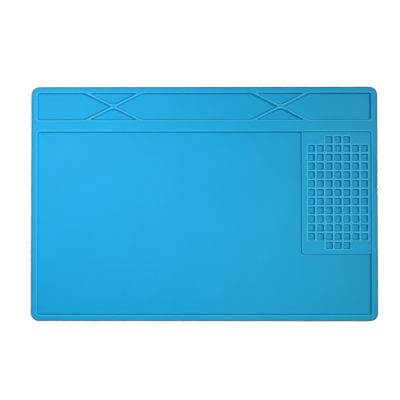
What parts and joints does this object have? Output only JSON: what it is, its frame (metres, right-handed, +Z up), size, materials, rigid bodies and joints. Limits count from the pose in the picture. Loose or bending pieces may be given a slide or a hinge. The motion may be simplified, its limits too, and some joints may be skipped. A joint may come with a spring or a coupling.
{
  "type": "anti-static bench mat",
  "caption": "Flat silicone bench mat with a raised rim, a long tray split by crossed ribs, a sunken work area and a raised panel of small square pockets.",
  "frame": {"origin": "on the flat underside, below the middle of the mat", "axes": "+X along the length, towards the side with the pocket panel; +Y along the width, towards the edge with the tray; +Z up, out of the work area"},
  "size_m": [0.34, 0.23, 0.005],
  "materials": {
    "silicone": "matt moulded silicone rubber, sky blue"
  },
  "bodies": {
    "root": {"bench_mat": "silicone"}
  },
  "joints": []
}
